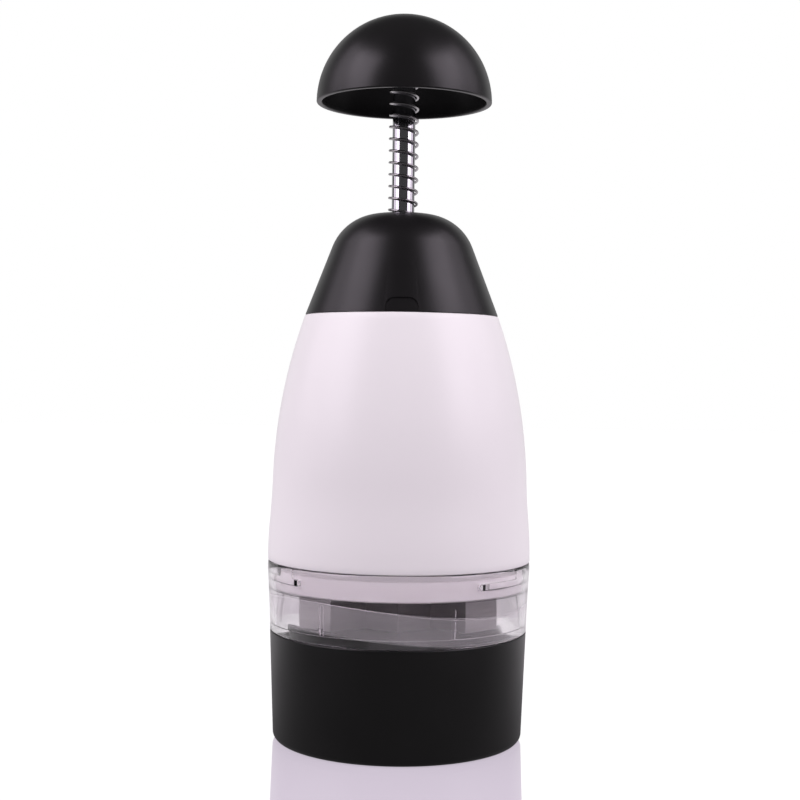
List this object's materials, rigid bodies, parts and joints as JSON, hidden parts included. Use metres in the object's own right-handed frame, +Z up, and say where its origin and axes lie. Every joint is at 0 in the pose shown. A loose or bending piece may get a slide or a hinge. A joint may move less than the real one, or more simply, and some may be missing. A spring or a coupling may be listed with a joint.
{
  "type": "plunger food chopper",
  "caption": "Hand chopper with a domed knob on a sprung plunger that drives and turns zigzag blades inside a lift-off cup, with a clear ring and a tapered shell.",
  "frame": {"origin": "centre of the cup's foot, on the table", "axes": "+Z up along the plunger, -Y to the front, and the shell halves part on the XZ plane"},
  "size_m": [0.0863, 0.0862, 0.238],
  "materials": {
    "cup_black": "moulded black plastic with a low gloss",
    "satin_black": "moulded black plastic, satin",
    "shell_white": "moulded white plastic, glossy",
    "column_white": "moulded white plastic, plain",
    "clear_plastic": "clear moulded plastic, polished",
    "natural_nylon": "natural nylon, machined and moulded",
    "bumper_rubber": "soft black rubber",
    "tube_chrome": "chromium plated, polished",
    "spring_steel": "bright drawn wire and sheet",
    "blade_steel": "rolled stainless strip with a ground edge",
    "zinc_steel": "zinc plated steel",
    "insert_brass": "turned brass"
  },
  "bodies": {
    "base": {"base_cup": "cup_black"},
    "ring": {"clear_ring": "clear_plastic"},
    "housing": {"shell_front": "shell_white", "shell_back": "shell_white", "collar": "satin_black", "hinge_pin_front": "zinc_steel", "hinge_pin_back": "zinc_steel", "guide_bush": "natural_nylon", "spring_washer": "zinc_steel", "stop_bumper": "bumper_rubber", "guide_column": "column_white", "column_screws": "zinc_steel", "pawl_ring": "spring_steel", "twist_nut": "natural_nylon", "nut_retainer": "satin_black", "return_spring": "spring_steel"},
    "plunger": {"knob_dome": "satin_black", "knob_insert": "insert_brass", "knob_stud": "zinc_steel", "spring_cap": "satin_black", "plunger_tube": "tube_chrome", "stop_clip": "spring_steel", "tube_plug": "natural_nylon"},
    "blades": {"blade_spindle": "zinc_steel", "spindle_clip": "spring_steel", "blade_carrier": "column_white", "clamp_plate": "blade_steel", "clamp_screws": "zinc_steel", "hub_screw": "zinc_steel", "blade_strip_front": "blade_steel", "blade_strip_back": "blade_steel"}
  },
  "joints": [
    {"name": "cup_release", "type": "slide", "parent": "base", "child": "ring", "axis": [0, 0, 1], "range_m": [0, 0.06]},
    {"name": "ring_unlock", "type": "hinge", "parent": "ring", "child": "housing", "pos_m": [0, 0, 0.059], "axis": [0, 0, 1], "range_deg": [0, 20]},
    {"name": "plunger_press", "type": "slide", "parent": "housing", "child": "plunger", "axis": [0, 0, -1], "range_m": [0, 0.035], "stiffness_N_per_m": 300, "springref_m": -0.03, "deforming": ["return_spring"]},
    {"name": "blade_turn", "type": "hinge", "parent": "plunger", "child": "blades", "pos_m": [0, 0, 0.139], "axis": [0, 0, 1], "range_deg": [0, 30.5]}
  ],
  "couplings": [
    {"joint": "blade_turn", "follows": "plunger_press", "rad_per_m": 14.96}
  ]
}
